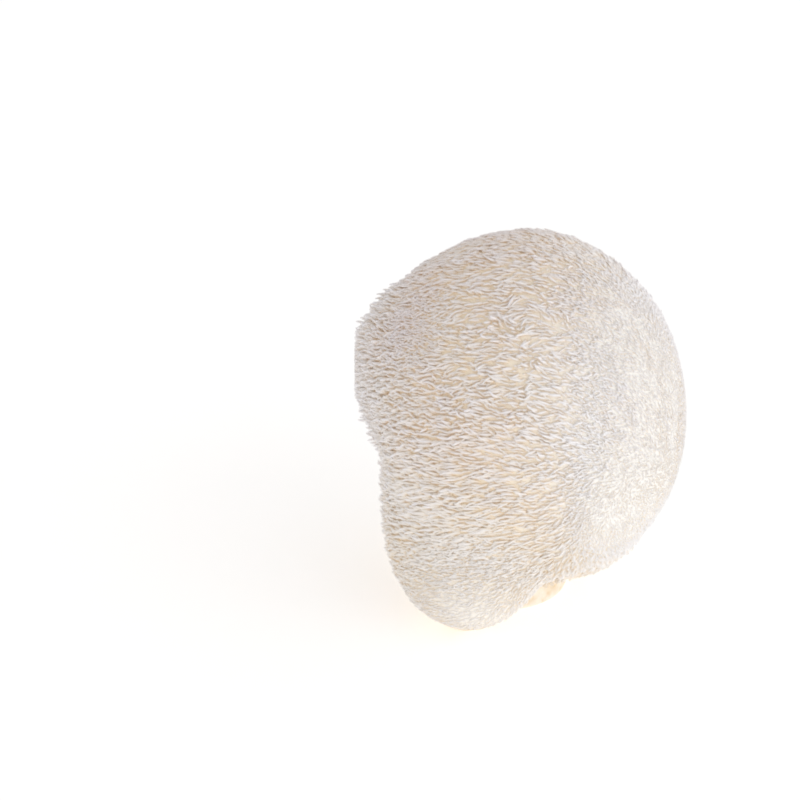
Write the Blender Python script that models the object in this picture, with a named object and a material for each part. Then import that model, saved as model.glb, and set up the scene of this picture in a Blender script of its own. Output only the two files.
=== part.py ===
"""Lion's mane mushroom: a rounded head of hanging spines on a short stalk, cut off flat where it grew.

The origin is at the middle of the cut, on which the mushroom stands. +Z is up and the front is
towards -Y. The head grew out sideways, so its spines hang towards -X. All lengths are in metres.
"""

import math
from dataclasses import dataclass

import bmesh
import bpy
import numpy as np

# The head's flesh: an ellipsoid that leans forward and right over the cut
HEAD_CENTRE = np.array([0.008, -0.008, 0.066])
HEAD_HALF_WIDTH = 0.0487
HEAD_HALF_DEPTH = 0.0477
HEAD_HALF_HEIGHT = 0.0592

# The stalk under the head, round at the cut and a little wider above it
STALK_RADIUS = 0.025
STALK_FLARE = 0.10
STALK_BLEND = 0.007
STALK_FARTHEST = 1.3

# The base mesh, of which each triangle outside the stalk carries one spine
BASE_POINTS = 1650
BASE_JITTER = 0.25
FLESH_UNEVENNESS = 0.0004
CUT_EDGE_MERGE = 0.0008
SEED = 7

# The spines: how far they rise from the flesh and how far their tips hang over
SPINE_RISE = 0.0056
RISE_SPREAD = 0.0007
SPINE_HANG = 0.0050
HANG_UNEVENNESS = 0.13
GROWN_DOWN = np.array([-1.0, 0.0, 0.08])
GROWN_DOWN_WEIGHT = 0.5

# The tufts: slow waves that draw neighbouring spines the same way
TUFT_WAVES = 6
TUFT_WAVELENGTH = 0.011

# The stalk is bare: heights above the cut, and how far the tips stay above the floor
BARE_BELOW = 0.004
FULL_ABOVE = 0.011
TIP_CLEARANCE = 0.0015

FLESH_COLOUR = (0.80, 0.74, 0.66, 1.0)
MATT = 0.75

# Keeps divisions away from zero
TINY = 1e-9


@dataclass(frozen=True)
class Lobe:
    """A smooth swelling or hollow of the head.

    The way to its middle and its half-width are in degrees, and its height is in metres.
    """

    azimuth: float
    elevation: float
    spread: float
    height: float


@dataclass(frozen=True)
class Comb:
    """A patch where the spines lie another way.

    The way to its middle and its reach are in degrees. The heading is where the tips point, seen from
    outside, in degrees anticlockwise from the right, and the strength is how flat the spines lie.
    """

    azimuth: float
    elevation: float
    reach: float
    heading: float
    strength: float


LOBES = {
    "upper left shoulder": Lobe(150, 42, 28, 0.0050),
    "left shoulder": Lobe(168, 22, 22, 0.0075),
    "left flank": Lobe(180, -14, 18, -0.0050),
    "hanging lobe, outer side": Lobe(214, -47, 21, 0.0105),
    "hanging lobe, inner side": Lobe(243, -56, 18, 0.0115),
    "notch beside the hanging lobe": Lobe(284, -62, 16, -0.0125),
    "lower right": Lobe(325, -40, 22, -0.0020),
    "upper right": Lobe(30, 35, 26, 0.0020),
    "crown": Lobe(85, 65, 26, 0.0035),
    "back": Lobe(75, -5, 28, 0.0040),
    "back left": Lobe(132, 2, 30, 0.0060),
    "lower back": Lobe(105, -48, 26, 0.0090),
}

COMBS = {
    "upper left": Comb(200, 45, 22, 195, 1.0),
    "front middle": Comb(255, 20, 30, 175, 1.0),
    "hanging lobe": Comb(235, -45, 22, 205, 1.0),
    "crown": Comb(271, 64, 18, 185, 0.7),
    "upper right": Comb(320, 58, 18, 140, 0.9),
    "right": Comb(330, 28, 18, 120, 0.6),
    "lower right": Comb(300, -22, 16, 325, 0.7),
    "back": Comb(80, 10, 40, 10, 1.0),
}


def way(azimuth, elevation):
    """The unit vector at this azimuth and elevation, in degrees."""
    turn, lift = math.radians(azimuth), math.radians(elevation)
    return np.array([math.cos(turn) * math.cos(lift), math.sin(turn) * math.cos(lift), math.sin(lift)])


def nearness(rays, middle, spread):
    """1 at the middle, falling smoothly to about a third at the spread, in degrees."""
    return np.exp(-(1.0 - rays @ middle) / (1.0 - math.cos(math.radians(spread))))


def head_reach(rays):
    """The distance from the head's centre to its surface along each ray."""
    half_axes = np.array([HEAD_HALF_WIDTH, HEAD_HALF_DEPTH, HEAD_HALF_HEIGHT])
    reach = 1.0 / np.linalg.norm(rays / half_axes, axis=1)
    for lobe in LOBES.values():
        reach += lobe.height * nearness(rays, way(lobe.azimuth, lobe.elevation), lobe.spread)
    return reach


def stalk_reach(rays):
    """The distance from the head's centre to the stalk's flared side along each ray that goes down."""
    x, y, height = HEAD_CENTRE
    radius_here = STALK_RADIUS + STALK_FLARE * height
    square = rays[:, 0] ** 2 + rays[:, 1] ** 2 - (STALK_FLARE * rays[:, 2]) ** 2
    linear = 2.0 * (x * rays[:, 0] + y * rays[:, 1] - radius_here * STALK_FLARE * rays[:, 2])
    constant = x * x + y * y - radius_here**2
    root = np.sqrt(np.maximum(linear**2 - 4.0 * square * constant, 0.0))
    reach = (root - linear) / (2.0 * np.where(np.abs(square) < TINY, TINY, square))
    farthest = STALK_FARTHEST * height
    reach = np.where((reach < 0.0) | (reach > farthest), farthest, reach)
    return np.where(rays[:, 2] < 0.0, reach, 0.0)


def flesh_points(rays):
    """Points of the flesh along the rays, where the head runs smoothly into the stalk."""
    head, stalk = head_reach(rays), stalk_reach(rays)
    share = np.clip(0.5 + 0.5 * (head - stalk) / STALK_BLEND, 0.0, 1.0)
    reach = stalk * (1.0 - share) + head * share + STALK_BLEND * share * (1.0 - share)
    return HEAD_CENTRE + rays * reach[:, None]


def even_rays(count, rng):
    """Unit vectors spread evenly over a sphere on a golden spiral, then each moved a little."""
    step = np.arange(count) + 0.5
    lift = np.arccos(1.0 - 2.0 * step / count)
    turn = math.pi * (1.0 + math.sqrt(5.0)) * step
    rays = np.stack([np.cos(turn) * np.sin(lift), np.sin(turn) * np.sin(lift), np.cos(lift)], axis=1)
    spacing = math.sqrt(4.0 * math.pi / count)
    rays += rng.uniform(-BASE_JITTER, BASE_JITTER, rays.shape) * spacing
    return rays / np.linalg.norm(rays, axis=1)[:, None]


def unit(vector):
    """The vector at length 1."""
    return vector / max(float(np.linalg.norm(vector)), TINY)


def along_surface(vector, normal):
    """What is left of a vector when its part along the normal is taken away."""
    return vector - (vector @ normal) * normal


def heading_vector(comb):
    """A comb's heading as a vector on the surface of a ball, times its strength."""
    outward = way(comb.azimuth, comb.elevation)
    right = unit(np.cross([0.0, 0.0, 1.0], outward))
    up = np.cross(outward, right)
    angle = math.radians(comb.heading)
    return comb.strength * (math.cos(angle) * right + math.sin(angle) * up)


def hang_direction(point, normal, combs):
    """How the spine at a point hangs: a vector along the surface, at most about 1 long."""
    ray = unit(point - HEAD_CENTRE)
    total = along_surface(GROWN_DOWN, normal) * GROWN_DOWN_WEIGHT
    weight = GROWN_DOWN_WEIGHT
    for middle, reach, heading in combs:
        near = float(nearness(ray, middle, reach))
        total = total + near * along_surface(heading, normal)
        weight += near
    return total / weight


def tuft_waves(rng):
    """Wave vectors and phases of a slow unevenness that draws neighbouring spines together."""
    turns = rng.normal(size=(TUFT_WAVES, 3))
    turns /= np.linalg.norm(turns, axis=1)[:, None]
    phases = rng.uniform(0.0, 2.0 * math.pi, (TUFT_WAVES, 3))
    return turns * (2.0 * math.pi / TUFT_WAVELENGTH), phases


def tuft_pull(point, waves, phases):
    """The sideways pull of the tufts at a point."""
    return np.sin((waves @ point)[:, None] + phases).sum(axis=0) / math.sqrt(len(waves))


def smooth_step(value, low, high):
    """0 below low, 1 above high and a smooth rise between them."""
    share = min(max((value - low) / (high - low), 0.0), 1.0)
    return share * share * (3.0 - 2.0 * share)


def base_mesh(rng):
    """The flesh as a closed mesh of triangles, cut flat at the floor."""
    bm = bmesh.new()
    rays = even_rays(BASE_POINTS, rng)
    for ray in rays:
        bm.verts.new(ray)
    bmesh.ops.convex_hull(bm, input=bm.verts)
    rays = np.array([vert.co for vert in bm.verts])
    rays /= np.linalg.norm(rays, axis=1)[:, None]
    lumps = rng.uniform(-FLESH_UNEVENNESS, FLESH_UNEVENNESS, (len(rays), 1))
    points = flesh_points(rays) + rays * lumps
    for vert, point in zip(bm.verts, points):
        vert.co = point
    bmesh.ops.recalc_face_normals(bm, faces=bm.faces)
    everything = bm.verts[:] + bm.edges[:] + bm.faces[:]
    bmesh.ops.bisect_plane(bm, geom=everything, plane_co=(0, 0, 0), plane_no=(0, 0, 1), clear_inner=True)
    rim_verts = [vert for vert in bm.verts if vert.is_boundary]
    for vert in rim_verts:
        vert.co.z = 0.0
    bmesh.ops.remove_doubles(bm, verts=rim_verts, dist=CUT_EDGE_MERGE)
    rim = [edge for edge in bm.edges if edge.is_boundary]
    bmesh.ops.contextual_create(bm, geom=rim)
    bmesh.ops.recalc_face_normals(bm, faces=bm.faces)
    return bm


def grow_spines(bm, rng):
    """Pokes each triangle of the head and draws its middle out into a spine that hangs over."""
    combs = [(way(c.azimuth, c.elevation), c.reach, heading_vector(c)) for c in COMBS.values()]
    waves, phases = tuft_waves(rng)
    grown = []
    for face in bm.faces:
        foot = np.array(face.calc_center_median())
        fullness = smooth_step(foot[2], BARE_BELOW, FULL_ABOVE)
        if len(face.verts) > 3 or fullness <= 0.0:
            continue
        normal = unit(np.array(face.normal) + unit(foot - HEAD_CENTRE))
        hang = hang_direction(foot, normal, combs)
        hang = hang + along_surface(tuft_pull(foot, waves, phases), normal) * HANG_UNEVENNESS
        rise = SPINE_RISE - rng.uniform(0.0, RISE_SPREAD)
        reach = fullness * (normal * rise + hang * SPINE_HANG)
        room = foot[2] - TIP_CLEARANCE
        if reach[2] < -room:
            reach = reach * (room / -reach[2])
        grown.append((face, foot + reach))
    for face, tip in grown:
        poked = bmesh.ops.poke(bm, faces=[face])
        poked["verts"][0].co = tip


def flesh_material():
    """Matt cream flesh."""
    material = bpy.data.materials.new("cream_flesh")
    material.use_nodes = True
    shader = material.node_tree.nodes["Principled BSDF"]
    shader.inputs["Base Color"].default_value = FLESH_COLOUR
    shader.inputs["Roughness"].default_value = MATT
    shader.inputs["Metallic"].default_value = 0.0
    return material


def build_fruit_body():
    """The whole mushroom as one closed body."""
    rng = np.random.default_rng(SEED)
    bm = base_mesh(rng)
    grow_spines(bm, rng)
    mesh = bpy.data.meshes.new("fruit_body")
    bm.to_mesh(mesh)
    bm.free()
    mesh.materials.append(flesh_material())
    fruit_body = bpy.data.objects.new("fruit_body", mesh)
    bpy.context.scene.collection.objects.link(fruit_body)
    return fruit_body


def main():
    """Clears the scene and builds the mushroom."""
    for old in list(bpy.data.objects):
        bpy.data.objects.remove(old, do_unlink=True)
    build_fruit_body()


main()
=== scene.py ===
"""The looks of a fresh lion's mane mushroom: soft flesh, a cut stalk and a coat of hanging spines.

The mushroom stands on its cut, with the origin at the middle of the cut, +Z up and the front towards
-Y. It grew out sideways, so its spines hang towards -X. Lengths are in metres and angles in degrees.
"""

from __future__ import annotations

import logging
import math
from dataclasses import dataclass
from enum import Enum
from typing import Union

import bpy
import numpy as np
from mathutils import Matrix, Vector
from mathutils.kdtree import KDTree


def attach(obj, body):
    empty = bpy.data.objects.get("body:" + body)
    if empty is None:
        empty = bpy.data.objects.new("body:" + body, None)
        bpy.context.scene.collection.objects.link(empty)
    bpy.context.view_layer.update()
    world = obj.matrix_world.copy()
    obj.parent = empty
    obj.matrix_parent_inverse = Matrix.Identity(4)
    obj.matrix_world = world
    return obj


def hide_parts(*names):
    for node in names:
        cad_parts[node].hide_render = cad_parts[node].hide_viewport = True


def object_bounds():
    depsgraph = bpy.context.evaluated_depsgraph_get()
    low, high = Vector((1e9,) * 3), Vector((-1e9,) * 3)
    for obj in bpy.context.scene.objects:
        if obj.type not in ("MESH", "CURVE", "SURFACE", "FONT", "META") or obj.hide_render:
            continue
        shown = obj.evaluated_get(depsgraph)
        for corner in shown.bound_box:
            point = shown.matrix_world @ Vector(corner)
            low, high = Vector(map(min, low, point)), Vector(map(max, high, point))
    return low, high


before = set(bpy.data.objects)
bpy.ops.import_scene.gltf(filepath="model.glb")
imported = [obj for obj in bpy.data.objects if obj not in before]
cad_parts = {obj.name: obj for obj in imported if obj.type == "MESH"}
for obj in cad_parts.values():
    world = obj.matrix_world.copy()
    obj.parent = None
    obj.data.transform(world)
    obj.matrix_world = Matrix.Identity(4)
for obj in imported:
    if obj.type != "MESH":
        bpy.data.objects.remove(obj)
CAD_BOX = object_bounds()

LOG = logging.getLogger("lions_mane")

# What a node's input may get: another node's output, a number or a colour.
Input = Union[bpy.types.NodeSocket, float, tuple]

BODY = "root"
CAD_NODE = "fruit_body"

# Keeps a division away from zero.
TINY = 1e-9


def way(azimuth: float, elevation: float) -> np.ndarray:
    """Returns the unit vector at an azimuth, anticlockwise from +X seen from above, and an elevation."""
    turn, lift = math.radians(azimuth), math.radians(elevation)
    return np.array([math.cos(turn) * math.cos(lift), math.sin(turn) * math.cos(lift), math.sin(lift)])


def unit(vectors: np.ndarray) -> np.ndarray:
    """Returns the vectors at length 1."""
    return vectors / np.maximum(np.linalg.norm(vectors, axis=-1, keepdims=True), TINY)


def along_surface(vectors: np.ndarray, normals: np.ndarray) -> np.ndarray:
    """Returns the vectors without their parts along the normals."""
    return vectors - np.sum(vectors * normals, axis=-1, keepdims=True) * normals


def smooth_step(values: np.ndarray, low: float, high: float) -> np.ndarray:
    """Returns 0 below low, 1 above high and a smooth rise between them."""
    share = np.clip((values - low) / (high - low), 0.0, 1.0)
    return share * share * (3.0 - 2.0 * share)


def even_rays(count: int) -> np.ndarray:
    """Spreads rays evenly over a sphere, on a golden spiral.

    Args:
        count: How many rays.

    Returns:
        The unit vectors, one a row.
    """
    step = np.arange(count) + 0.5
    lift = np.arccos(1.0 - 2.0 * step / count)
    turn = math.pi * (1.0 + math.sqrt(5.0)) * step
    return np.stack([np.cos(turn) * np.sin(lift), np.sin(turn) * np.sin(lift), np.cos(lift)], axis=1)


@dataclass(frozen=True)
class Spot:
    """A round place on the head.

    The azimuth and elevation point to its middle from the head's centre, and the reach is its
    half-width, all in degrees.
    """

    azimuth: float
    elevation: float
    reach: float

    def nearness(self, rays: np.ndarray) -> np.ndarray:
        """Returns 1 for rays to its middle, about a third at its reach and nearly 0 far away."""
        away = 1.0 - rays @ way(self.azimuth, self.elevation)
        return np.exp(-away / (1.0 - math.cos(math.radians(self.reach))))


@dataclass(frozen=True)
class Lobe(Spot):
    """A smooth swelling of the head, or a hollow where its height is below 0."""

    height: float


@dataclass(frozen=True)
class Patch(Spot):
    """A patch where something is stronger, with its amount at the middle."""

    amount: float

    def values(self, rays: np.ndarray) -> np.ndarray:
        """Returns the amount for each ray."""
        return self.amount * self.nearness(rays)


@dataclass(frozen=True)
class Comb(Spot):
    """A patch where the spines lie another way than straight down.

    The heading is where the tips point, seen from outside, in degrees anticlockwise from the right. The
    strength is how flat the spines lie, from 0 for upright.
    """

    heading: float
    strength: float

    def vector(self) -> np.ndarray:
        """Finds the way the tips point.

        Returns:
            A vector along the surface, as long as the strength.
        """
        outward = way(self.azimuth, self.elevation)
        right = unit(np.cross([0.0, 0.0, 1.0], outward))
        up = np.cross(outward, right)
        angle = math.radians(self.heading)
        return self.strength * (math.cos(angle) * right + math.sin(angle) * up)


class TuftNoise:
    """A slow unevenness in space, the same each run."""

    WAVES = 7
    STRETCHES = (0.75, 1.35)
    DAMPING = 1.5

    def __init__(self, wavelength: float, seed: int) -> None:
        """Draws the waves.

        Args:
            wavelength: The typical distance from crest to crest, in metres.
            seed: The seed of the random draws.
        """
        rng = np.random.default_rng(seed)
        turns = unit(rng.normal(size=(self.WAVES, 3)))
        stretch = rng.uniform(*self.STRETCHES, (self.WAVES, 1))
        self.waves = turns * stretch * (2.0 * math.pi / wavelength)
        self.phases = rng.uniform(0.0, 2.0 * math.pi, (self.WAVES, 3))

    def vectors(self, points: np.ndarray) -> np.ndarray:
        """Returns a slowly changing vector at each point, about 1 long."""
        turns = (points @ self.waves.T)[:, :, None] + self.phases[None]
        return np.sin(turns).sum(axis=1) / math.sqrt(self.WAVES * self.DAMPING)

    def values(self, points: np.ndarray) -> np.ndarray:
        """Returns a slowly changing value at each point, mostly within -1 and 1."""
        return self.vectors(points)[:, 0]


@dataclass(frozen=True)
class HeadForm:
    """The form of the flesh: an ellipsoid with lobes, run into a short flared stalk."""

    centre: tuple[float, float, float] = (0.008, -0.008, 0.066)
    half_axes: tuple[float, float, float] = (0.0487, 0.0477, 0.0592)
    stalk_radius: float = 0.025
    stalk_flare: float = 0.10
    stalk_blend: float = 0.007
    stalk_farthest: float = 1.3
    probe: float = 0.002
    nearly_up: tuple[float, float, float] = (0.03, 0.02, 1.0)
    skin: float = 0.0044
    velvet_skin: float = 0.0005
    velvet: tuple[Patch, ...] = (
        Patch(325, 20, 30, 1.0),
        Patch(0, 0, 45, 0.8),
        Patch(318, 58, 16, 0.6),
        Patch(312, -15, 22, 0.9),
        Patch(301, -8, 15, 0.6),
        Patch(244, -44, 20, 0.9),
        Patch(200, 45, 16, 0.6),
    )
    # Pale patches: a painted highlight, paler and whiter colour mostly on the lit right side and on the
    # bottom.
    pale: tuple[Patch, ...] = (
        Patch(323, 28, 44, 1.0),
        Patch(310, -12, 28, 0.9),
        Patch(244, -46, 22, 0.7),
        Patch(0, 0, 60, 1.2),
        Patch(172, 2, 32, 0.5),
    )
    long: tuple[Patch, ...] = (Patch(225, -20, 30, 0.5),)
    lowest_side: Patch = Patch(170, 16, 30, 0.65)
    lobes: tuple[Lobe, ...] = (
        Lobe(150, 42, 28, 0.0050),
        Lobe(168, 22, 22, 0.0075),
        Lobe(180, -14, 18, -0.0050),
        Lobe(214, -47, 21, 0.0105),
        Lobe(243, -56, 18, 0.0115),
        Lobe(284, -62, 16, -0.0125),
        Lobe(325, -40, 22, -0.0020),
        Lobe(30, 35, 26, 0.0020),
        Lobe(85, 65, 26, 0.0035),
        Lobe(75, -5, 28, 0.0040),
        Lobe(132, 2, 30, 0.0060),
        Lobe(105, -48, 26, 0.0090),
    )

    def head_reach(self, rays: np.ndarray) -> np.ndarray:
        """Measures the head.

        Args:
            rays: Unit vectors from the head's centre.

        Returns:
            The distance from the centre to the head's surface along each ray.
        """
        reach = 1.0 / np.linalg.norm(rays / np.array(self.half_axes), axis=1)
        for lobe in self.lobes:
            reach += lobe.height * lobe.nearness(rays)
        return reach

    def stalk_reach(self, rays: np.ndarray) -> np.ndarray:
        """Measures the stalk, a cone that gets narrower downwards.

        Args:
            rays: Unit vectors from the head's centre.

        Returns:
            The distance from the centre to the stalk's side along each ray that goes down, else 0.
        """
        x, y, height = self.centre
        radius_here = self.stalk_radius + self.stalk_flare * height
        square = rays[:, 0] ** 2 + rays[:, 1] ** 2 - (self.stalk_flare * rays[:, 2]) ** 2
        linear = 2.0 * (x * rays[:, 0] + y * rays[:, 1] - radius_here * self.stalk_flare * rays[:, 2])
        constant = x * x + y * y - radius_here**2
        root = np.sqrt(np.maximum(linear**2 - 4.0 * square * constant, 0.0))
        reach = (root - linear) / (2.0 * np.where(np.abs(square) < TINY, TINY, square))
        farthest = self.stalk_farthest * height
        reach = np.where((reach < 0.0) | (reach > farthest), farthest, reach)
        return np.where(rays[:, 2] < 0.0, reach, 0.0)

    def stalk_share(self, rays: np.ndarray) -> np.ndarray:
        """Returns 1 where a ray meets the stalk, 0 where it meets the head, and a blend between them."""
        lead = self.head_reach(rays) - self.stalk_reach(rays)
        return 1.0 - np.clip(0.5 + 0.5 * lead / self.stalk_blend, 0.0, 1.0)

    def points(self, rays: np.ndarray) -> np.ndarray:
        """Finds the plain form of the flesh.

        Args:
            rays: Unit vectors from the head's centre.

        Returns:
            Its points along the rays, some of them inside the stalk and under the floor.
        """
        head, stalk = self.head_reach(rays), self.stalk_reach(rays)
        share = np.clip(0.5 + 0.5 * (head - stalk) / self.stalk_blend, 0.0, 1.0)
        reach = stalk * (1.0 - share) + head * share + self.stalk_blend * share * (1.0 - share)
        return np.array(self.centre) + rays * reach[:, None]

    def velvet_share(self, rays: np.ndarray) -> np.ndarray:
        """Returns how velvety the head is along each ray: near 1 where its spines are short and close."""
        return np.clip(sum(patch.values(rays) for patch in self.velvet), 0.0, 1.0)

    def long_share(self, rays: np.ndarray) -> np.ndarray:
        """Returns how much longer than elsewhere the spines are along each ray."""
        return sum(patch.values(rays) for patch in self.long)

    def highlight_share(self, rays: np.ndarray) -> np.ndarray:
        """Returns how much of the painted highlight, a paler colour, the head gets along each ray."""
        return np.clip(sum(patch.values(rays) for patch in self.pale), 0.0, 1.0)

    def skin_height(self, rays: np.ndarray) -> np.ndarray:
        """Returns how far the flesh between the spines lies outside the plain form."""
        height = self.skin * (1.0 - self.lowest_side.values(rays))
        return (height + self.velvet_skin * self.velvet_share(rays)) * (1.0 - self.stalk_share(rays))

    def normals(self, rays: np.ndarray) -> np.ndarray:
        """Finds which way the plain form faces.

        Args:
            rays: Unit vectors from the head's centre.

        Returns:
            The outward normals along the rays.
        """
        across = unit(np.cross(rays, self.nearly_up))
        along = np.cross(rays, across)
        across, along = self.probe * across, self.probe * along
        over = self.points(unit(rays + across)) - self.points(unit(rays - across))
        up = self.points(unit(rays + along)) - self.points(unit(rays - along))
        normals = unit(np.cross(over, up))
        return normals * np.sign(np.sum(normals * rays, axis=1, keepdims=True))


class Zone(Enum):
    """The parts of the coat of spines, each one piece."""

    CROWN = "spines_crown"
    FRONT = "spines_front"
    FRONT_RIGHT = "spines_front_right"
    RIGHT = "spines_right"
    BACK = "spines_back"
    LEFT = "spines_left"
    UNDERSIDE = "spines_underside"


# The elevations that bound the crown and the underside, and between them the azimuth at which each
# zone ends, all in degrees from the head's centre.
CROWN_ABOVE = 50.0
UNDERSIDE_BELOW = -38.0
SECTOR_ENDS = {
    20.0: Zone.RIGHT,
    135.0: Zone.BACK,
    225.0: Zone.LEFT,
    283.0: Zone.FRONT,
    328.0: Zone.FRONT_RIGHT,
    360.0: Zone.RIGHT,
}


def zones_of(rays: np.ndarray) -> np.ndarray:
    """Sorts rays into the zones of the coat.

    Args:
        rays: Unit vectors from the head's centre.

    Returns:
        The index of each ray's zone in the order of Zone.
    """
    names = list(Zone)
    elevation = np.degrees(np.arcsin(np.clip(rays[:, 2], -1.0, 1.0)))
    azimuth = np.degrees(np.arctan2(rays[:, 1], rays[:, 0])) % 360.0
    sector = np.searchsorted(list(SECTOR_ENDS)[:-1], azimuth)
    found = np.array([names.index(zone) for zone in SECTOR_ENDS.values()])[sector]
    found[elevation > CROWN_ABOVE] = names.index(Zone.CROWN)
    found[elevation < UNDERSIDE_BELOW] = names.index(Zone.UNDERSIDE)
    return found


def add_node(tree: bpy.types.NodeTree, kind: str, inputs: dict, **options: object) -> bpy.types.Node:
    """Adds a node to a tree.

    Args:
        tree: The node tree.
        kind: The node's type.
        inputs: What its inputs get, by name or number: a socket to link, a number or a colour.
        options: The node's own settings.

    Returns:
        The node.
    """
    node = tree.nodes.new(kind)
    for name, value in options.items():
        setattr(node, name, value)
    for name, value in inputs.items():
        if isinstance(value, bpy.types.NodeSocket):
            tree.links.new(value, node.inputs[name])
        else:
            node.inputs[name].default_value = value
    return node


def build_mottle_group() -> bpy.types.NodeTree:
    """Makes the node group of soft patches that the flesh and the spines share.

    Returns:
        A group with the inputs Scale, Detail and Contrast and the output Mask.
    """
    group = bpy.data.node_groups.new("soft_mottle", "ShaderNodeTree")
    face = group.interface
    for name, value in (("Scale", 30.0), ("Detail", 2.0), ("Contrast", 2.0)):
        socket = face.new_socket(name=name, in_out="INPUT", socket_type="NodeSocketFloat")
        socket.default_value = value
    face.new_socket(name="Mask", in_out="OUTPUT", socket_type="NodeSocketFloat")
    given = add_node(group, "NodeGroupInput", {}).outputs
    place = add_node(group, "ShaderNodeTexCoord", {}).outputs["Object"]
    wants = {"Vector": place, "Scale": given["Scale"], "Detail": given["Detail"]}
    noise = add_node(group, "ShaderNodeTexNoise", wants).outputs["Fac"]
    centred = add_node(group, "ShaderNodeMath", {0: noise, 1: 0.5}, operation="SUBTRACT").outputs[0]
    wants = {0: centred, 1: given["Contrast"], 2: 0.5}
    stretched = add_node(group, "ShaderNodeMath", wants, operation="MULTIPLY_ADD", use_clamp=True)
    add_node(group, "NodeGroupOutput", {"Mask": stretched.outputs[0]})
    return group


def add_mix(
    tree: bpy.types.NodeTree, factor: Input, low: Input, high: Input, blend: str = "MIX"
) -> bpy.types.NodeSocket:
    """Adds a mix of the colours low and high and returns its socket; the factor is how much of high shows."""
    wants = {0: factor, 6: low, 7: high}
    return add_node(tree, "ShaderNodeMix", wants, data_type="RGBA", blend_type=blend).outputs[2]


def add_product(tree: bpy.types.NodeTree, one: Input, other: Input) -> bpy.types.NodeSocket:
    """Adds a product of two values and returns its socket."""
    return add_node(tree, "ShaderNodeMath", {0: one, 1: other}, operation="MULTIPLY").outputs[0]


def add_attribute(tree: bpy.types.NodeTree, name: str) -> bpy.types.NodeSocket:
    """Adds a reader of one of the mesh's own numbers and returns its socket."""
    return add_node(tree, "ShaderNodeAttribute", {}, attribute_name=name).outputs["Fac"]


def add_range(tree: bpy.types.NodeTree, value: Input, ends: tuple[float, float]) -> bpy.types.NodeSocket:
    """Adds a smooth step from 0 at the first end to 1 at the second and returns its socket."""
    wants = {"Value": value, "From Min": ends[0], "From Max": ends[1]}
    return add_node(tree, "ShaderNodeMapRange", wants, interpolation_type="SMOOTHSTEP").outputs["Result"]


def add_mottle(
    tree: bpy.types.NodeTree, group: bpy.types.NodeTree, scale: float, contrast: float
) -> bpy.types.NodeSocket:
    """Adds the group of soft patches, with as many to a metre as the scale, and returns its mask."""
    wants = {"Scale": scale, "Contrast": contrast}
    return add_node(tree, "ShaderNodeGroup", wants, node_tree=group).outputs["Mask"]


def plain_material(name: str, roughness: float) -> tuple[bpy.types.Material, bpy.types.Node]:
    """Makes a material with nodes.

    Args:
        name: The material's name.
        roughness: Its roughness all over.

    Returns:
        The material and its shader.
    """
    material = bpy.data.materials.new(name)
    material.use_nodes = True
    shader = material.node_tree.nodes["Principled BSDF"]
    shader.inputs["Roughness"].default_value = roughness
    return material, shader


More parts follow.
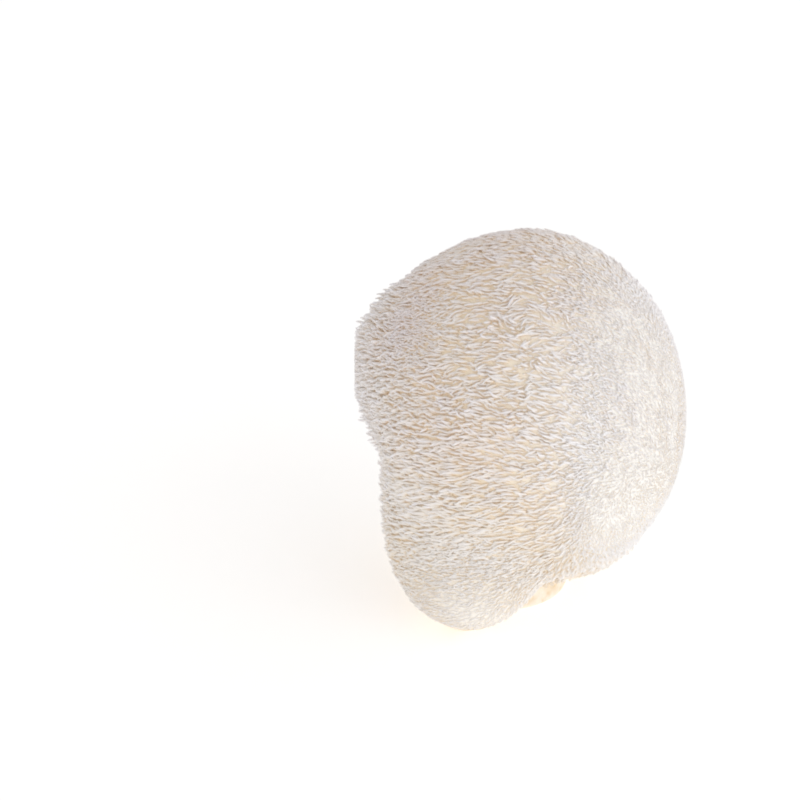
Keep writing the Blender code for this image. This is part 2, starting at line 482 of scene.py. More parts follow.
@dataclass(frozen=True)
class SpineFinish:
    """The finish of the spines: golden low in the coat, partly their own colour and partly painted crease
    shade, creamy white towards their tips.

    The tints are painted light, laid on in soft patches: a warm bounce low down and a pinkish shade high up
    on the head. The ranges named by two colours are the heights along a spine between which one turns into
    the other.
    """

    # The root colour is partly the spines' own gold near the flesh and partly painted shade in the creases
    # between them.
    root_and_crease_shade_colour: tuple = (0.92, 0.79, 0.60, 1.0)
    cream_colour: tuple = (0.94, 0.90, 0.86, 1.0)
    white_colour: tuple = (0.945, 0.94, 0.985, 1.0)
    # The pale colour is a painted highlight over the lit patches of the head.
    highlight_colour: tuple = (0.955, 0.95, 0.975, 1.0)
    # Painted light: a warm bounce colour low down and a pinkish shade colour high up, laid on in soft
    # patches.
    low_bounce_colour: tuple = (1.0, 0.96, 0.86, 1.0)
    high_shade_colour: tuple = (0.975, 0.93, 0.97, 1.0)
    root_and_crease_shade_to_cream: tuple[float, float] = (0.1, 0.6)
    cream_to_white: tuple[float, float] = (0.55, 0.9)
    root_to_highlight: tuple[float, float] = (-0.3, 0.6)
    bounce_to_shade_heights: tuple[float, float] = (0.02, 0.11)
    bounce_and_shade_share: float = 0.8
    highlight_share: float = 0.85
    darkest: float = 0.94
    mottle_scale: float = 26.0
    mottle_contrast: float = 2.0
    roughness: float = 0.5
    sheen: float = 0.25
    sheen_roughness: float = 0.6
    ior: float = 1.4

    def material(self, mottle: bpy.types.NodeTree) -> bpy.types.Material:
        """Makes the material.

        Args:
            mottle: The shared group of soft patches.

        Returns:
            The material.
        """
        material, shader = plain_material("spine_flesh", self.roughness)
        tree = material.node_tree
        # Golden low in the coat and under each spine: partly the spines' own colour, partly painted crease
        # shade.
        height = add_attribute(tree, "height")
        creamy = add_range(tree, height, self.root_and_crease_shade_to_cream)
        base = add_mix(tree, creamy, self.root_and_crease_shade_colour, self.cream_colour)
        base = add_mix(tree, add_range(tree, height, self.cream_to_white), base, self.white_colour)
        place = add_node(tree, "ShaderNodeTexCoord", {}).outputs["Object"]
        # Painted light by height above the floor: warm bounce low down, pinkish shade high up, in soft
        # patches.
        above_floor = add_node(tree, "ShaderNodeSeparateXYZ", {"Vector": place}).outputs["Z"]
        level = add_range(tree, above_floor, self.bounce_to_shade_heights)
        painted_light_blend = add_mix(tree, level, self.low_bounce_colour, self.high_shade_colour)
        patches = add_mottle(tree, mottle, self.mottle_scale, self.mottle_contrast)
        base = add_mix(tree, add_product(tree, patches, self.bounce_and_shade_share), base, painted_light_blend, "MULTIPLY")
        # Painted highlight: paler, whiter colour over the lit patches, reaching down towards the roots.
        pale = add_product(tree, add_attribute(tree, "pale"), self.highlight_share)
        pale = add_product(tree, pale, add_range(tree, height, self.root_to_highlight))
        base = add_mix(tree, pale, base, self.highlight_colour)
        wants = {"Value": add_attribute(tree, "tone"), "From Min": -1.0, "To Min": self.darkest}
        bright = add_node(tree, "ShaderNodeMapRange", wants).outputs["Result"]
        shade = add_node(tree, "ShaderNodeHueSaturation", {"Value": bright, "Color": base})
        tree.links.new(shade.outputs["Color"], shader.inputs["Base Color"])
        shader.inputs["IOR"].default_value = self.ior
        shader.inputs["Sheen Weight"].default_value = self.sheen
        shader.inputs["Sheen Roughness"].default_value = self.sheen_roughness
        return material


@dataclass(frozen=True)
class FleshFinish:
    """The finish of the flesh: golden between the spines, partly its own colour and partly painted shade in
    the gaps, stained cream on the stalk, cream on the cut.
    """

    # The gap colour is partly the flesh's own gold and partly painted shade in the gaps between the spines.
    flesh_gap_and_shade_colour: tuple = (0.92, 0.79, 0.60, 1.0)
    # The pale gap colour is a painted highlight between the spines on the lit patches.
    gap_highlight_colour: tuple = (0.95, 0.935, 0.90, 1.0)
    stalk_colour: tuple = (0.90, 0.86, 0.79, 1.0)
    cut_colour: tuple = (0.88, 0.84, 0.77, 1.0)
    stain_colour: tuple = (0.80, 0.66, 0.46, 1.0)
    stain_scale: float = 260.0
    stain_contrast: float = 2.4
    grain_scale: float = 900.0
    grain_detail: float = 3.0
    grain_depth: float = 0.0006
    grain_strength: float = 0.6
    roughness: float = 0.7

    def material(self, mottle: bpy.types.NodeTree) -> bpy.types.Material:
        """Makes the material.

        Args:
            mottle: The shared group of soft patches.

        Returns:
            The material.
        """
        material, shader = plain_material("flesh_and_painted_gap_shade", self.roughness)
        tree = material.node_tree
        # Golden between the spines, partly own colour and partly painted gap shade, paler where the painted
        # highlight lies.
        gap = add_mix(tree, add_attribute(tree, "pale"), self.flesh_gap_and_shade_colour, self.gap_highlight_colour)
        patches = add_mottle(tree, mottle, self.stain_scale, self.stain_contrast)
        stained = add_mix(tree, patches, self.stalk_colour, self.stain_colour, "MULTIPLY")
        skin = add_mix(tree, add_attribute(tree, "bare"), gap, stained)
        colour = add_mix(tree, add_attribute(tree, "cut"), skin, self.cut_colour)
        tree.links.new(colour, shader.inputs["Base Color"])
        place = add_node(tree, "ShaderNodeTexCoord", {}).outputs["Object"]
        wants = {"Vector": place, "Scale": self.grain_scale, "Detail": self.grain_detail}
        grain = add_node(tree, "ShaderNodeTexNoise", wants).outputs["Fac"]
        wants = {"Height": grain, "Distance": self.grain_depth, "Strength": self.grain_strength}
        bump = add_node(tree, "ShaderNodeBump", wants)
        tree.links.new(bump.outputs["Normal"], shader.inputs["Normal"])
        return material


def settle(piece: bpy.types.Object) -> bpy.types.Object:
    """Makes an object a piece of the mushroom, in place of its plain solid.

    Args:
        piece: The object.

    Returns:
        The same object.
    """
    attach(piece, BODY)
    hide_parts(CAD_NODE)
    LOG.info("%s: %d faces", piece.name, len(piece.data.polygons))
    return piece


def number_each_vertex(mesh: bpy.types.Mesh, name: str, values: np.ndarray) -> None:
    """Stores one number for each vertex of a mesh under a name."""
    attribute = mesh.attributes.new(name, "FLOAT", "POINT")
    attribute.data.foreach_set("value", values.astype(np.float32))


@dataclass
class Flesh:
    """The flesh under the spines, with the short stalk and its flat cut."""

    form: HeadForm
    subdivisions: int = 6
    lump_sizes: tuple[float, float] = (0.006, 0.0025)
    small_lumps: float = 0.5
    unevenness: float = 0.00008
    steepest: float = 0.6
    bare_above: float = 0.010
    bare_share: float = 0.4
    cut_merge: float = 0.00001
    cut_depth: float = 0.00002
    sharp_angle: float = 50.0
    seed: int = 3

    def build(self, finish: bpy.types.Material) -> bpy.types.Object:
        """Models the flesh and dresses it.

        Args:
            finish: The flesh's material.

        Returns:
            The piece.
        """
        bpy.ops.object.select_all(action="DESELECT")
        bpy.ops.mesh.primitive_ico_sphere_add(subdivisions=self.subdivisions, radius=1.0)
        piece = bpy.context.active_object
        piece.name = piece.data.name = "flesh"
        mesh = piece.data
        rays = np.empty(len(mesh.vertices) * 3)
        mesh.vertices.foreach_get("co", rays)
        rays = unit(rays.reshape(-1, 3))
        points = self.form.points(rays)
        broad, small = (TuftNoise(size, self.seed + n) for n, size in enumerate(self.lump_sizes))
        lumps = broad.values(points) + self.small_lumps * small.values(points)
        facing = np.maximum(np.sum(self.form.normals(rays) * rays, axis=1), self.steepest)
        points += rays * (lumps * self.unevenness + self.form.skin_height(rays) / facing)[:, None]
        mesh.vertices.foreach_set("co", points.ravel())
        mesh.update()
        self.cut_flat()
        self.mark(mesh)
        mesh.materials.append(finish)
        mesh.shade_smooth()
        mesh.set_sharp_from_angle(angle=math.radians(self.sharp_angle))
        return settle(piece)

    def cut_flat(self) -> None:
        """Cuts the active mesh off at the floor and closes the cut."""
        bpy.ops.object.mode_set(mode="EDIT")
        bpy.ops.mesh.select_all(action="SELECT")
        bpy.ops.mesh.bisect(
            plane_co=(0.0, 0.0, 0.0),
            plane_no=(0.0, 0.0, 1.0),
            use_fill=True,
            clear_inner=True,
            threshold=self.cut_merge,
        )
        bpy.ops.mesh.select_all(action="SELECT")
        bpy.ops.mesh.normals_make_consistent(inside=False)
        bpy.ops.object.mode_set(mode="OBJECT")

    def mark(self, mesh: bpy.types.Mesh) -> None:
        """Stores on each vertex how bare the flesh is there, how much painted highlight makes it paler, and
        whether it is on the cut.

        Args:
            mesh: The flesh's mesh.
        """
        points = np.empty(len(mesh.vertices) * 3)
        mesh.vertices.foreach_get("co", points)
        points = points.reshape(-1, 3)
        height = points[:, 2]
        bare = 1.0 - smooth_step(height, self.bare_share * self.bare_above, self.bare_above)
        number_each_vertex(mesh, "bare", bare)
        number_each_vertex(mesh, "cut", (height < self.cut_depth).astype(float))
        number_each_vertex(mesh, "pale", self.form.highlight_share(unit(points - np.array(self.form.centre))))


@dataclass(frozen=True)
class Layer:
    """One layer of the coat of spines.

    The spacing is the least distance between its roots and from the roots of the layers before it. A
    fine layer grows on the velvety patches alone, and through the layers before it. The rises are how
    far the middle line of a lying spine reaches above the plain form, and upright is that of one that
    stands up. The hang is how far a lying spine's tip is from its root, tufting is how much the tufts
    raise it, and the whiteness is how far it goes from golden to white.
    """

    spacing: float
    rises: tuple[float, float]
    upright: float
    hang: float
    radius: float
    sides: int
    stations: tuple[float, ...]
    whiteness: float
    tufting: float = 0.0003
    fine: bool = False
    flatness: float = 0.9
    swell: float = 3.0
    bluntness: float = 0.6
    cell_width: float = 0.4

    def faces(self) -> list[tuple[int, ...]]:
        """Lists the faces of one spine: its sides, its tip and its closed root.

        Returns:
            The numbers of each face's vertices, counted from the spine's first.
        """
        rings, sides = len(self.stations), self.sides
        faces = []
        for ring in range(rings - 1):
            low, high = ring * sides, (ring + 1) * sides
            for one in range(sides):
                other = (one + 1) % sides
                faces.append((low + one, low + other, high + other, high + one))
        last, tip = (rings - 1) * sides, rings * sides
        faces += [(last + s, last + (s + 1) % sides, tip) for s in range(sides)]
        faces.append(tuple(reversed(range(sides))))
        return faces

    def places(self) -> np.ndarray:
        """Finds where the vertices of one spine lie on its cell of the map.

        Returns:
            Each vertex's place across and up the cell, from 0 to 1, in the order of tubes.
        """
        turn = np.append(np.tile(np.arange(self.sides) / self.sides, len(self.stations)), 0.0)
        up = np.append(np.repeat(self.stations, self.sides), 1.0)
        return np.stack([0.5 + self.cell_width * np.cos(2.0 * math.pi * turn), up], axis=1)

    def tubes(
        self, line: np.ndarray, tangent: np.ndarray, side: np.ndarray, girth: np.ndarray
    ) -> np.ndarray:
        """Draws tapered tubes round middle lines.

        Args:
            line: The points of each middle line, at the stations and the tip.
            tangent: The tangents there.
            side: A vector across each spine.
            girth: Each spine's radius at its root.

        Returns:
            The vertices of each spine, ring by ring with the tip last.
        """
        rings = len(self.stations)
        profile = (1.0 - np.array(self.stations) ** self.swell) ** self.bluntness
        binormal = unit(np.cross(tangent[:, :rings], side[:, None]))
        across = np.cross(binormal, tangent[:, :rings])
        angle = (np.arange(self.sides) * (2.0 * math.pi / self.sides))[None, None, :, None]
        ring = across[:, :, None] * np.cos(angle) + binormal[:, :, None] * np.sin(angle) * self.flatness
        ring = line[:, :rings, None] + ring * (girth[:, None] * profile[None])[:, :, None, None]
        return np.concatenate([ring.reshape(len(line), -1, 3), line[:, -1:]], axis=1)


@dataclass
class SpineBatch:
    """Spines of one layer, ready to be joined: one row for each spine."""

    layer: Layer
    rays: np.ndarray
    vertices: np.ndarray
    height: np.ndarray
    tone: np.ndarray
    # pale: how much of the painted highlight each spine gets.
    pale: np.ndarray


@dataclass
class SpineCoat:
    """The coat of spines that hang over the whole head."""

    form: HeadForm
    # Where the roots stand.
    candidates: int = 150000
    jitter: float = 0.006
    stalk_reached: float = 0.85
    fine_from: tuple[float, float] = (0.15, 0.6)
    coarse_until: tuple[float, float] = (0.4, 1.1)
    bare_below: float = 0.0035
    full_above: float = 0.012
    # How the spines hang.
    grown_down: tuple[float, float, float] = (-1.0, 0.0, 0.05)
    down_weight: float = 0.25
    tousle: float = 0.07
    velvet_calm: float = 0.6
    broad_tufts: float = 0.016
    small_tufts: float = 0.0065
    turn: float = 0.08
    # How long and how thick they are.
    rooted: float = 0.0007
    least_thickness: float = 0.0004
    tuft_size: float = 0.008
    tuft_lengthening: float = 0.12
    lengths: tuple[float, float] = (0.8, 1.15)
    girths: tuple[float, float] = (0.85, 1.15)
    long_girth: float = 0.5
    least_girth: float = 0.7
    full_girth: float = 0.3
    least_fullness: float = 0.25
    stalk_thinning: float = 0.7
    velvet_cut: float = 0.45
    standing: float = 1.2
    raggedness: float = 0.4
    # What keeps them in the solid's box and off the floor.
    box_margin: float = 0.0003
    floor_clearance: float = 0.0008
    least_share: float = 0.1
    # How they bend: how high and how far out the middle control points are, and how they stray.
    bend: tuple[tuple[float, float], ...] = ((0.35, 0.15), (0.9, 0.55))
    tip_lift: tuple[float, float] = (0.85, 1.0)
    sway: float = 0.12
    tip_sway: float = 1.6
    roll: float = 0.02
    # The small openings where the flesh shows.
    openings: int = 800
    opening_radius: float = 0.0008
    opening_sizes: tuple[float, float] = (0.5, 1.4)
    opening_edge: tuple[float, float] = (0.6, 1.3)
    opening_scatter: float = 0.05
    opening_lead: float = 0.6
    opening_cut: float = 0.6
    # How their colours vary.
    white_spread: tuple[float, float] = (0.85, 1.1)
    tone_spread: float = 0.45
    # The map: how many times taller than wide a cell is, and its free margins across and up.
    cell_shape: float = 2.0
    cell_margins: tuple[float, float] = (0.08, 0.06)
    seed: int = 11
    layers: tuple[Layer, ...] = (
        Layer(0.00195, (0.0050, 0.0053), 0.0092, 0.0048, 0.00058, 5, (0.0, 0.35, 0.68, 0.9), 1.0),
        Layer(0.00095, (0.0048, 0.00515), 0.0068, 0.0036, 0.00052, 4, (0.0, 0.35, 0.68, 0.9), 0.8),
        Layer(0.00068, (0.0051, 0.0053), 0.0056, 0.0022, 0.00032, 4, (0.0, 0.45, 0.8), 1.0, 0.00003, True),
    )
    tousled: tuple[Patch, ...] = (
        Patch(271, 60, 26, 0.22),
        Patch(215, 42, 22, 0.18),
        Patch(255, 28, 26, 0.12),
    )
    combs: tuple[Comb, ...] = (
        Comb(183, 30, 14, 205, 0.8),
        Comb(198, 50, 16, 235, 1.0),
        Comb(217, 38, 14, 198, 1.0),
        Comb(209, 8, 16, 198, 0.9),
        Comb(239, 42, 14, 190, 1.0),
        Comb(245, 3, 16, 190, 1.0),
        Comb(266, 21, 14, 171, 1.0),
        Comb(279, 45, 12, 166, 1.0),
        Comb(271, 64, 12, 185, 0.9),
        Comb(188, -18, 12, 195, 0.55),
        Comb(196, -38, 12, 200, 0.55),
        Comb(222, -12, 12, 197, 0.95),
        Comb(222, -32, 12, 197, 0.95),
        Comb(236, -28, 16, 194, 1.0),
        Comb(247, -45, 14, 196, 1.0),
        Comb(275, -20, 12, 190, 1.0),
        Comb(312, 61, 12, 130, 1.0),
        Comb(325, 51, 12, 125, 1.0),
        Comb(329, 35, 12, 120, 1.0),
        Comb(322, 15, 12, 125, 1.0),
        Comb(303, 31, 12, 139, 1.0),
        Comb(289, 27, 12, 152, 1.0),
        Comb(301, 14, 10, 146, 1.0),
        Comb(290, -8, 12, 200, 0.6),
        Comb(304, -19, 12, 315, 0.5),
        Comb(294, -32, 12, 300, 0.5),
        Comb(327, -33, 14, 322, 0.9),
        Comb(342, -8, 14, 120, 0.5),
        Comb(80, 10, 40, 10, 0.9),
    )

    def roots(self) -> tuple[np.ndarray, np.ndarray]:
        """Spreads the spines' roots over the head, layer by layer.

        Returns:
            The rays from the head's centre to the roots, and the index of each one's layer.
        """
        rng = np.random.default_rng(self.seed)
        rays = even_rays(self.candidates)
        rays = unit(rays + rng.normal(0.0, self.jitter, rays.shape))
        points = self.form.points(rays)
        keep = (points[:, 2] > self.bare_below) & (self.form.stalk_share(rays) < self.stalk_reached)
        rays, points = rays[keep], points[keep]
        tree = KDTree(len(points))
        for index, point in enumerate(points):
            tree.insert(point, index)
        tree.balance()
        order = rng.permutation(len(points))
        velvet = self.form.velvet_share(rays)
        fine_ground = smooth_step(velvet, *self.fine_from) > rng.random(len(points))
        coarse_ground = velvet < rng.uniform(*self.coarse_until, len(points))
        chosen, layers = [], []
        for number, layer in enumerate(self.layers):
            free = fine_ground.copy() if layer.fine else coarse_ground.copy()
            earlier = [] if layer.fine else chosen
            for index in earlier:
                for _, near, _ in tree.find_range(points[index], layer.spacing):
                    free[near] = False
            for index in order:
                if not free[index]:
                    continue
                chosen.append(index)
                layers.append(number)
                for _, near, _ in tree.find_range(points[index], layer.spacing):
                    free[near] = False
        return rays[np.array(chosen)], np.array(layers)

    def hang_vectors(self, rays: np.ndarray, points: np.ndarray, normals: np.ndarray) -> np.ndarray:
        """Finds how the spines hang.

        Args:
            rays: Unit vectors from the head's centre to the roots.
            points: The roots.
            normals: The flesh's normals at the roots.

        Returns:
            Vectors along the surface, short where the spines stand up and about 1 long where they lie.
        """
        down = np.array(self.grown_down)
        total = along_surface(np.broadcast_to(down, normals.shape), normals) * self.down_weight
        weight = np.full(len(rays), self.down_weight)
        for comb in self.combs:
            near = comb.nearness(rays)
            total += near[:, None] * along_surface(np.broadcast_to(comb.vector(), normals.shape), normals)
            weight += near
        hang = total / weight[:, None]
        amount = self.tousle + sum(patch.values(rays) for patch in self.tousled)
        amount *= 1.0 - self.velvet_calm * self.form.velvet_share(rays)
        broad = TuftNoise(self.broad_tufts, self.seed + 1).vectors(points)
        small = TuftNoise(self.small_tufts, self.seed + 2).vectors(points)
        return hang + along_surface((broad + small) * amount[:, None], normals)

    def batch(self, layer: Layer, rays: np.ndarray, seed: int) -> SpineBatch:
        """Shapes the spines of one layer.

        Args:
            layer: The layer.
            rays: Unit vectors from the head's centre to the roots.
            seed: The seed of the random draws.

        Returns:
            The shaped spines.
        """
        rng = np.random.default_rng(seed)
        count = len(rays)
        points, normals = self.form.points(rays), self.form.normals(rays)
        hang = self.hang_vectors(rays, points, normals)
        turns = rng.normal(0.0, self.turn, (count, 1))
        hang = hang * np.cos(turns) + np.cross(normals, hang) * np.sin(turns)
        lay = np.linalg.norm(hang, axis=1)
        side = unit(np.cross(normals, hang + rng.normal(0.0, self.roll, hang.shape)))
        thinned = 1.0 - self.stalk_thinning * self.form.stalk_share(rays)
        full = smooth_step(points[:, 2], self.bare_below, self.full_above)
        fullness = self.least_fullness + (1.0 - self.least_fullness) * full * thinned
        long = self.form.long_share(rays)
        velvet = self.form.velvet_share(rays) * (0.0 if layer.fine else 1.0)
        tufts = TuftNoise(self.tuft_size, self.seed + 3).values(points)
        stand = np.clip(1.0 - lay, 0.0, 1.0)
        rise = rng.uniform(*layer.rises, count) + layer.tufting * tufts
        rise += (layer.upright - rise) * stand**self.standing * (1.0 - velvet)
        rise *= fullness
        over = layer.hang * rng.uniform(*self.lengths, count)
        over *= (1.0 + self.tuft_lengthening * tufts) * fullness
        over *= (1.0 - self.velvet_cut * velvet) * (1.0 + long)
        sway = rng.normal(0.0, self.sway * layer.hang, (count, 2)) * fullness[:, None]
        lift = rng.uniform(*self.tip_lift, count)
        skin = self.form.skin_height(rays) * fullness
        kept = 1.0 - self.opening_cut * self.near_openings(points + hang * (self.opening_lead * layer.hang))
        over *= kept
        out, climb = hang * over[:, None], (rise - skin) * (1.0 - self.velvet_cut * velvet) * kept
        climb *= 1.0 + self.raggedness * stand * rng.uniform(-1.0, 1.0, count)
        (low_up, low_out), (high_up, high_out) = self.bend
        knots = (
            points + normals * (skin - self.rooted)[:, None],
            points + normals * (skin + low_up * climb)[:, None] + out * low_out,
            points + normals * (skin + high_up * climb)[:, None] + out * high_out + side * sway[:, :1],
            points + normals * (skin + lift * climb)[:, None] + out + side * sway[:, 1:] * self.tip_sway,
        )
        line, tangent = self.curves(knots, layer.stations + (1.0,))
        girth = layer.radius * rng.uniform(*self.girths, count)
        girth *= self.least_girth + self.full_girth * fullness
        girth *= (1.0 + self.long_girth * long) * (1.0 - self.velvet_cut * velvet)
        vertices = layer.tubes(self.kept_inside(line, layer.radius), tangent, side, girth)
        # The height in the coat, scaled by the whiteness, sets the painted crease shade: golden low down and
        # under each spine, partly the spines' own colour.
        thickness = np.maximum(climb + layer.radius, self.least_thickness)
        height = np.sum((vertices - points[:, None]) * normals[:, None], axis=2) - skin[:, None]
        white = layer.whiteness * rng.uniform(*self.white_spread, count)
        height *= (white / thickness)[:, None]
        tone = np.clip(rng.normal(0.0, self.tone_spread, count), -1.0, 1.0)
        return SpineBatch(layer, rays, vertices, height, tone, self.form.highlight_share(rays))

    @staticmethod
    def curves(knots: tuple[np.ndarray, ...], stations: tuple[float, ...]) -> tuple[np.ndarray, np.ndarray]:
        """Draws a smooth cubic curve for each spine.

        Args:
            knots: The four control points of all curves, one array for each.
            stations: How far along the curves the points are, from 0 to 1.

        Returns:
            The points and the unit tangents there.
        """
        ahead = np.array(stations)[None, :, None]
        back = 1.0 - ahead
        weights = (back**3, 3.0 * back**2 * ahead, 3.0 * back * ahead**2, ahead**3)
        line = sum(weight * knot[:, None] for weight, knot in zip(weights, knots))
        slopes = (3.0 * back**2, 6.0 * back * ahead, 3.0 * ahead**2)
        runs = (knots[1] - knots[0], knots[2] - knots[1], knots[3] - knots[2])
        return line, unit(sum(slope * run[:, None] for slope, run in zip(slopes, runs)))

    def near_openings(self, points: np.ndarray) -> np.ndarray:
        """Measures how near points are to the small openings in the coat, where the flesh shows.

        Args:
            points: Points on the plain form.

        Returns:
            1 at the middle of an opening, 0 away from all of them, for each point.
        """
        rng = np.random.default_rng(self.seed + 5)
        rays = even_rays(self.openings)
        rays = unit(rays + rng.normal(0.0, self.opening_scatter, rays.shape))
        sizes = self.opening_radius * rng.uniform(*self.opening_sizes, len(rays))
        sizes *= 1.0 - self.form.velvet_share(rays)
        tree = KDTree(len(rays))
        for index, middle in enumerate(self.form.points(rays)):
            tree.insert(middle, index)
        tree.balance()
        found = [tree.find(point)[1:] for point in points]
        size = np.maximum(sizes[[index for index, _ in found]], TINY)
        return 1.0 - smooth_step(np.array([distance for _, distance in found]) / size, *self.opening_edge)

    def kept_inside(self, line: np.ndarray, radius: float) -> np.ndarray:
        """Shortens the spines that would leave the solid's box or reach the floor.

        Args:
            line: The points of each middle line, the root first.
            radius: The radius of the spines.

        Returns:
            The lines, drawn in towards their roots where they have to be.
        """
        low = np.array(CAD_BOX[0]) + self.box_margin
        high = np.array(CAD_BOX[1]) - self.box_margin
        low[2] = self.floor_clearance + radius
        roots = line[:, 0]
        reach = line - roots[:, None]
        room_up = (high - roots)[:, None] / np.where(reach > TINY, reach, np.inf)
        room_down = (low - roots)[:, None] / np.where(reach < -TINY, reach, -np.inf)
        share = np.where(reach > TINY, room_up, np.where(reach < -TINY, room_down, np.inf))
        share = np.clip(share.min(axis=(1, 2)), self.least_share, 1.0)
        LOG.info("spines shortened to stay in the solid's box: %d", int((share < 1.0).sum()))
        return roots[:, None] + reach * share[:, None, None]

    def build(self, finish: bpy.types.Material) -> list[bpy.types.Object]:
        """Models the spines, one piece for each zone, and dresses them.

        Args:
            finish: The spines' material.

        Returns:
            The pieces.
        """
        rays, numbers = self.roots()
        batches = [
            self.batch(layer, rays[numbers == number], self.seed + 20 + number)
            for number, layer in enumerate(self.layers)
        ]
        LOG.info("spines: %s", [len(batch.rays) for batch in batches])
        return [self.piece(zone, batches, finish) for zone in Zone]

    def piece(self, zone: Zone, batches: list[SpineBatch], finish: bpy.types.Material) -> bpy.types.Object:
        """Joins one zone's spines into one mesh.

        Args:
            zone: The zone.
            batches: The spines of all layers.
            finish: The material.

        Returns:
            The piece.
        """
        vertices, faces, cells = [], [], []
        # The marks: height sets the golden, partly painted crease shade; pale sets the painted highlight.
        marks = {"height": [], "tone": [], "pale": []}
        start = spines = 0
        for batch in batches:
            held = zones_of(batch.rays) == list(Zone).index(zone)
            count, each = int(held.sum()), batch.vertices.shape[1]
            corner = start + np.arange(count)[:, None] * each
            vertices.append(batch.vertices[held].reshape(-1, 3))
            for face in batch.layer.faces():
                faces += (corner + np.array(face)).tolist()
            marks["height"].append(batch.height[held].ravel())
            marks["tone"].append(np.repeat(batch.tone[held], each))
            marks["pale"].append(np.repeat(batch.pale[held], each))
            number = np.repeat(spines + np.arange(count), each)
            cells.append(np.column_stack([number, np.tile(batch.layer.places(), (count, 1))]))
            start += count * each
            spines += count
        mesh = bpy.data.meshes.new(zone.value)
        mesh.from_pydata(np.concatenate(vertices), [], faces)
        for name, values in marks.items():
            number_each_vertex(mesh, name, np.concatenate(values))
        self.lay_out(mesh, spines, np.concatenate(cells))
        mesh.materials.append(finish)
        mesh.shade_smooth()
        piece = bpy.data.objects.new(zone.value, mesh)
        bpy.context.scene.collection.objects.link(piece)
        return settle(piece)

    def lay_out(self, mesh: bpy.types.Mesh, spines: int, cells: np.ndarray) -> None:
        """Lays the spines side by side on a map, each in a cell of its own.

        Args:
            mesh: The joined mesh.
            spines: How many spines it holds.
            cells: For each vertex the number of its spine and its place across and up its cell.
        """
        columns = math.ceil(math.sqrt(spines * self.cell_shape))
        rows = math.ceil(spines / columns)
        corner = np.empty(len(mesh.loops), np.int64)
        mesh.loops.foreach_get("vertex_index", corner)
        spine, across, up = cells[corner].T
        side, end = self.cell_margins
        u = (spine % columns + side + (1.0 - 2.0 * side) * across) / columns
        v = (spine // columns + end + (1.0 - 2.0 * end) * up) / rows
        layer = mesh.uv_layers.new(name="OFBake")
        layer.uv.foreach_set("vector", np.stack([u, v], axis=1).astype(np.float32).ravel())


@dataclass(frozen=True)
class SoftLight:
    """A large soft white lamp that looks at the mushroom, placed in degrees round and above it."""

    name: str
    azimuth: float
    elevation: float
    distance: float
    width: float
    power: float

    def build(self, target: np.ndarray) -> bpy.types.Object:
        """Hangs the lamp and turns it to the target.

        Args:
            target: The point that it looks at.

        Returns:
            The lamp's object.
        """
        lamp = bpy.data.lights.new(self.name, "AREA")
        lamp.shape = "DISK"
        lamp.size = self.width
        lamp.energy = self.power
        holder = bpy.data.objects.new(self.name, lamp)
        turn, lift = math.radians(self.azimuth), math.radians(self.elevation)
        away = np.array([math.sin(turn) * math.cos(lift), -math.cos(turn) * math.cos(lift), math.sin(lift)])
        holder.location = target + away * self.distance
        holder.rotation_euler = Vector(away).to_track_quat("Z", "Y").to_euler()
        bpy.context.scene.collection.objects.link(holder)
        return holder


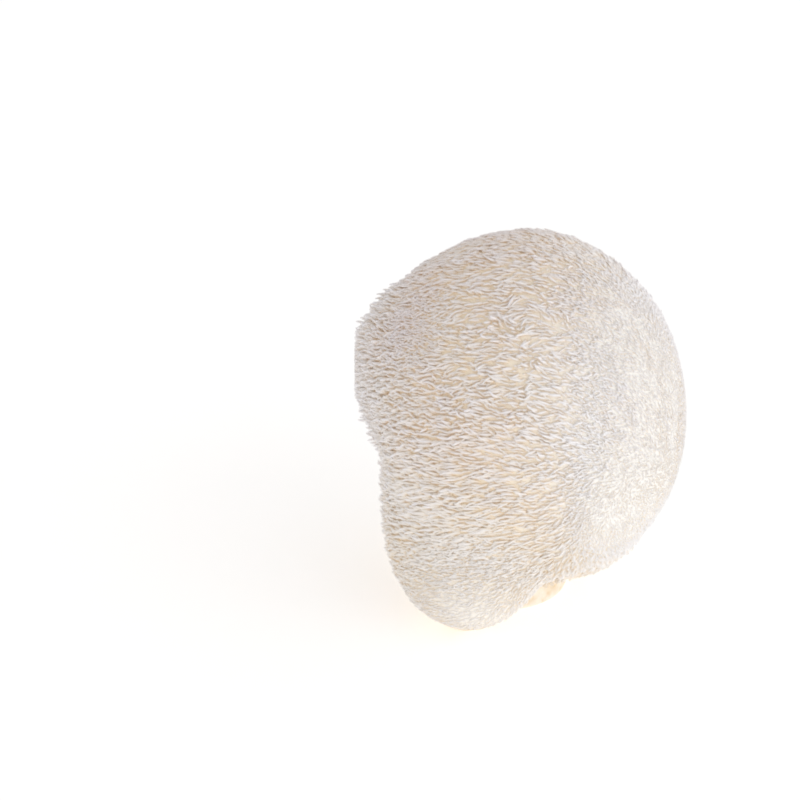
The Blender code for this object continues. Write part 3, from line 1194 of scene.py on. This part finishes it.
@dataclass(frozen=True)
class Studio:
    """The pale floor, the soft light and the camera at the photograph's viewing angle."""

    camera_elevation: float = 26.0
    lens: float = 75.0
    sensor: float = 36.0
    nearest_seen: float = 0.01
    metres_per_pixel: float = 0.000345
    image_width: float = 800.0
    head_pixel: tuple[float, float] = (520.0, 428.0)
    head_point: tuple[float, float, float] = (0.005, -0.012, 0.066)
    floor_size: float = 12.0
    floor_gap: float = 0.0001
    floor_roughness: float = 0.8
    floor_colour: tuple = (0.96, 0.96, 0.96, 1.0)
    left_sky: tuple = (1.0, 0.97, 0.95, 1.0)
    right_sky: tuple = (1.0, 1.0, 1.0, 1.0)
    floor_glow: float = 0.3
    low_sky: float = 1.09
    high_sky: float = 0.6
    lean: float = 0.18
    soft_bounces: int = 20
    softness: float = 2.0
    key_light: SoftLight = SoftLight("key_light", 50.0, 20.0, 1.4, 1.6, 3.6)

    def build(self) -> None:
        """Sets up the floor, the lamp, the sky and the camera."""
        self.lay_floor()
        self.key_light.build(np.array(self.head_point))
        self.light_the_sky()
        bpy.context.scene.view_settings.view_transform = "Standard"
        bpy.context.scene.cycles.diffuse_bounces = self.soft_bounces
        bpy.context.scene.cycles.filter_width = self.softness
        self.place_camera()

    def light_the_sky(self) -> None:
        """Lights the room softly from all sides, brighter low down and on the right."""
        world = bpy.data.worlds.new("studio")
        world.use_nodes = True
        tree = world.node_tree
        place = add_node(tree, "ShaderNodeTexCoord", {}).outputs["Generated"]
        way_out = add_node(tree, "ShaderNodeSeparateXYZ", {"Vector": place}).outputs
        wants = {"Value": way_out["Z"], "To Min": self.low_sky, "To Max": self.high_sky}
        fade = add_node(tree, "ShaderNodeMapRange", wants, interpolation_type="SMOOTHSTEP")
        wants = {"Value": way_out["X"], "From Min": -1.0}
        warmth = add_node(tree, "ShaderNodeMapRange", wants)
        wants |= {"To Min": 1.0 - self.lean, "To Max": 1.0 + self.lean}
        lean = add_node(tree, "ShaderNodeMapRange", wants)
        colour = add_mix(tree, warmth.outputs["Result"], self.left_sky, self.right_sky)
        glow = add_product(tree, fade.outputs["Result"], lean.outputs["Result"])
        sky = tree.nodes["Background"]
        tree.links.new(colour, sky.inputs["Color"])
        tree.links.new(glow, sky.inputs["Strength"])
        bpy.context.scene.world = world

    def lay_floor(self) -> None:
        """Lays the floor that the mushroom stands on."""
        bpy.ops.object.select_all(action="DESELECT")
        bpy.ops.mesh.primitive_plane_add(size=self.floor_size, location=(0.0, 0.0, -self.floor_gap))
        floor = bpy.context.active_object
        floor.name = "floor"
        material, shader = plain_material("pale_floor", self.floor_roughness)
        shader.inputs["Base Color"].default_value = self.floor_colour
        shader.inputs["Emission Color"].default_value = self.floor_colour
        shader.inputs["Emission Strength"].default_value = self.floor_glow
        floor.data.materials.append(material)

    def place_camera(self) -> None:
        """Places the camera so that the head falls on its pixel of the photograph."""
        lift = math.radians(self.camera_elevation)
        right = np.array([1.0, 0.0, 0.0])
        up = np.array([0.0, math.sin(lift), math.cos(lift)])
        back = np.array([0.0, -math.cos(lift), math.sin(lift)])
        middle = self.image_width / 2.0
        across = (self.head_pixel[0] - middle) * self.metres_per_pixel
        down = (self.head_pixel[1] - middle) * self.metres_per_pixel
        aim = np.array(self.head_point) - across * right + down * up
        distance = self.image_width * self.metres_per_pixel * self.lens / self.sensor
        camera = bpy.data.cameras.new("camera")
        camera.lens = self.lens
        camera.sensor_width = self.sensor
        camera.clip_start = self.nearest_seen
        holder = bpy.data.objects.new("camera", camera)
        holder.location = aim + back * distance
        holder.rotation_euler = (math.radians(90.0 - self.camera_elevation), 0.0, 0.0)
        bpy.context.scene.collection.objects.link(holder)
        bpy.context.scene.camera = holder


def main() -> None:
    """Builds the mushroom and its studio."""
    logging.basicConfig(level=logging.INFO, format="%(name)s: %(message)s")
    form = HeadForm()
    mottle = build_mottle_group()
    Flesh(form).build(FleshFinish().material(mottle))
    SpineCoat(form).build(SpineFinish().material(mottle))
    Studio().build()


if __name__ == "__main__":
    main()
